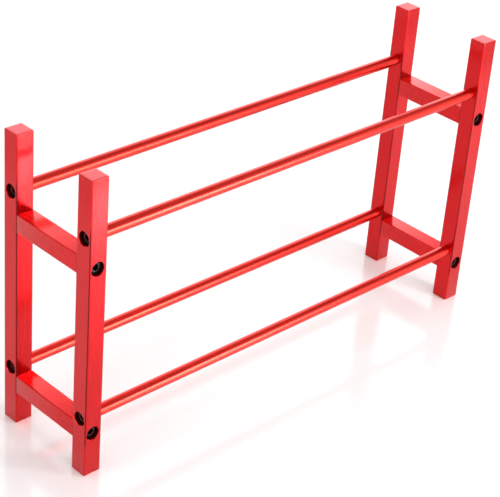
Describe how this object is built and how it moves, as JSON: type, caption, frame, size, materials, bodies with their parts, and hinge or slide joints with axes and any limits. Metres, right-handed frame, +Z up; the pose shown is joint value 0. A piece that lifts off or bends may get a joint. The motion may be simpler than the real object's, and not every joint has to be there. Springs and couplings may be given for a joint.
{
  "type": "tyre storage rack",
  "caption": "Open tyre rack for scale-model tyres: round rods in tiers between end frames of square bar, every joint held by a sunk socket-head screw.",
  "frame": {"origin": "on the floor, under the middle of the rack", "axes": "+X along the rods from the left end to the right end, +Y from the front to the rear, +Z up"},
  "size_m": [0.228, 0.053, 0.133],
  "materials": {
    "anodised_bar": "drawn square bar, satin red anodised",
    "anodised_rod": "turned round rod, glossy red anodised",
    "black_screw": "black oxide alloy steel, satin"
  },
  "bodies": {
    "root": {"post_front_left": "anodised_bar", "post_front_right": "anodised_bar", "post_rear_left": "anodised_bar", "post_rear_right": "anodised_bar", "cross_bar_lower_left": "anodised_bar", "cross_bar_upper_left": "anodised_bar", "cross_bar_lower_right": "anodised_bar", "cross_bar_upper_right": "anodised_bar", "rod_lower_front": "anodised_rod", "rod_lower_rear": "anodised_rod", "rod_upper_front": "anodised_rod", "rod_upper_rear": "anodised_rod", "rod_screw_lower_front_left": "black_screw", "rod_screw_lower_front_right": "black_screw", "rod_screw_lower_rear_left": "black_screw", "rod_screw_lower_rear_right": "black_screw", "rod_screw_upper_front_left": "black_screw", "rod_screw_upper_front_right": "black_screw", "rod_screw_upper_rear_left": "black_screw", "rod_screw_upper_rear_right": "black_screw", "bar_screw_lower_front_left": "black_screw", "bar_screw_lower_front_right": "black_screw", "bar_screw_lower_rear_left": "black_screw", "bar_screw_lower_rear_right": "black_screw", "bar_screw_upper_front_left": "black_screw", "bar_screw_upper_front_right": "black_screw", "bar_screw_upper_rear_left": "black_screw", "bar_screw_upper_rear_right": "black_screw"}
  },
  "joints": []
}
